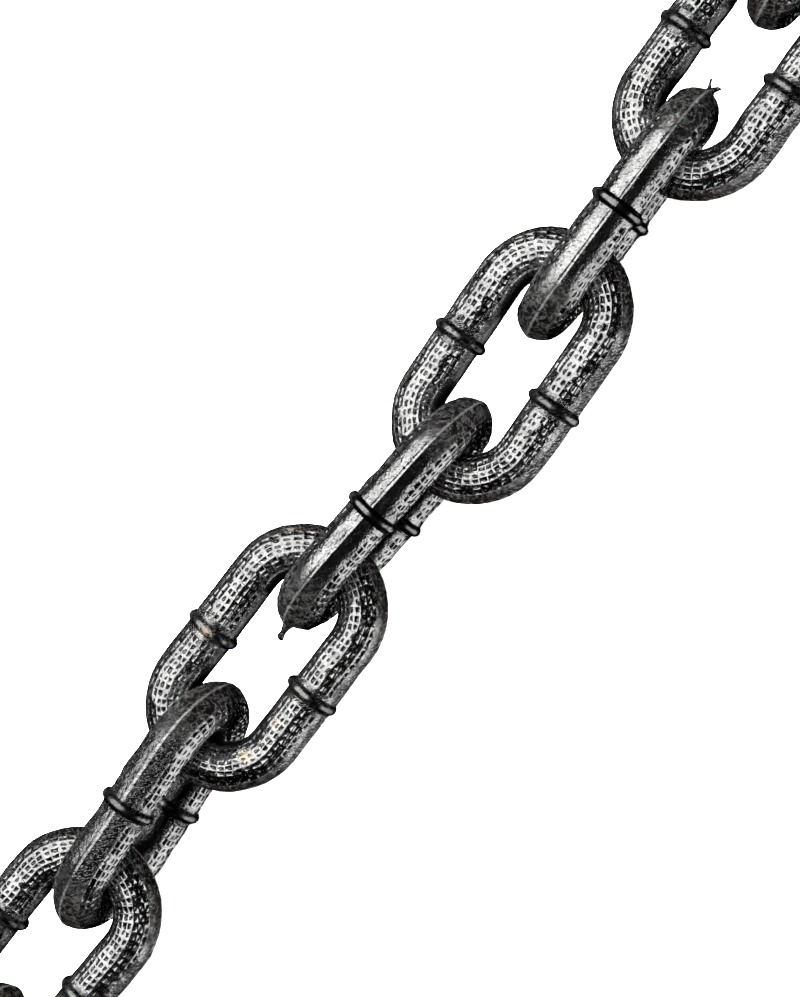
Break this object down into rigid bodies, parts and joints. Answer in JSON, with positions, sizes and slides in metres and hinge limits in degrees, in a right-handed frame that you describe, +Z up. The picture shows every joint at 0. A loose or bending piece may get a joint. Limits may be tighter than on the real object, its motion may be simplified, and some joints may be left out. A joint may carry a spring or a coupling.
{
  "type": "ornamental iron chain length",
  "caption": "Straight cut length of ornamental iron chain: cast oval links of round bar with a bead round each side and dimpled faces, lying on the floor.",
  "frame": {"origin": "middle of the chain's length and width, on the floor it lies on", "axes": "+X along the chain from link_01 to link_13, +Z up from the floor, +Y to the back"},
  "size_m": [0.5226, 0.0346, 0.0314],
  "materials": {
    "iron": "dark gunmetal, dimpled cast faces with burnished high spots, smooth seam bands"
  },
  "bodies": {
    "link_01": {"link_01": "iron"},
    "link_02": {"link_02": "iron"},
    "link_03": {"link_03": "iron"},
    "link_04": {"link_04": "iron"},
    "link_05": {"link_05": "iron"},
    "link_06": {"link_06": "iron"},
    "link_07": {"link_07": "iron"},
    "link_08": {"link_08": "iron"},
    "link_09": {"link_09": "iron"},
    "link_10": {"link_10": "iron"},
    "link_11": {"link_11": "iron"},
    "link_12": {"link_12": "iron"},
    "link_13": {"link_13": "iron"}
  },
  "joints": [
    {"name": "swing_02", "type": "hinge", "parent": "link_01", "child": "link_02", "pos_m": [-0.20664, 0.00031, 0.01538], "axis": [0, -0.7193, 0.6947], "range_deg": [-90, 90]},
    {"name": "swing_03", "type": "hinge", "parent": "link_02", "child": "link_03", "pos_m": [-0.16745, -0.00083, 0.01435], "axis": [0.0523, -0.7975, -0.601], "range_deg": [-90, 90]},
    {"name": "swing_04", "type": "hinge", "parent": "link_03", "child": "link_04", "pos_m": [-0.12885, 0.0007, 0.01579], "axis": [0, 0.7373, -0.6756], "range_deg": [-90, 90]},
    {"name": "swing_05", "type": "hinge", "parent": "link_04", "child": "link_05", "pos_m": [-0.08978, -0.00013, 0.01499], "axis": [-0.0698, 0.7861, 0.6142], "range_deg": [-90, 90]},
    {"name": "swing_06", "type": "hinge", "parent": "link_05", "child": "link_06", "pos_m": [-0.05047, 0.00284, 0.01596], "axis": [0, -0.7314, 0.682], "range_deg": [-90, 90]},
    {"name": "swing_07", "type": "hinge", "parent": "link_06", "child": "link_07", "pos_m": [-0.01194, 0.00143, 0.01422], "axis": [-0.0698, -0.7054, -0.7054], "range_deg": [-90, 90]},
    {"name": "swing_08", "type": "hinge", "parent": "link_07", "child": "link_08", "pos_m": [0.02641, -0.00182, 0.01387], "axis": [0, 0.6293, -0.7771], "range_deg": [-90, 90]},
    {"name": "swing_09", "type": "hinge", "parent": "link_08", "child": "link_09", "pos_m": [0.06565, -0.00081, 0.01446], "axis": [-0.0174, 0.6427, 0.7659], "range_deg": [-90, 90]},
    {"name": "swing_10", "type": "hinge", "parent": "link_09", "child": "link_10", "pos_m": [0.10219, 0.00035, 0.01457], "axis": [0, -0.6691, 0.7431], "range_deg": [-40, 55]},
    {"name": "swing_11", "type": "hinge", "parent": "link_10", "child": "link_11", "pos_m": [0.14028, 0.00142, 0.01516], "axis": [-0.0175, -0.656, -0.7546], "range_deg": [-90, 90]},
    {"name": "swing_12", "type": "hinge", "parent": "link_11", "child": "link_12", "pos_m": [0.17835, 0.00069, 0.01461], "axis": [0, 0.6947, -0.7193], "range_deg": [-90, 90]},
    {"name": "swing_13", "type": "hinge", "parent": "link_12", "child": "link_13", "pos_m": [0.21735, 0.00046, 0.01386], "axis": [0.0175, 0.669, 0.743], "range_deg": [-90, 90]}
  ]
}
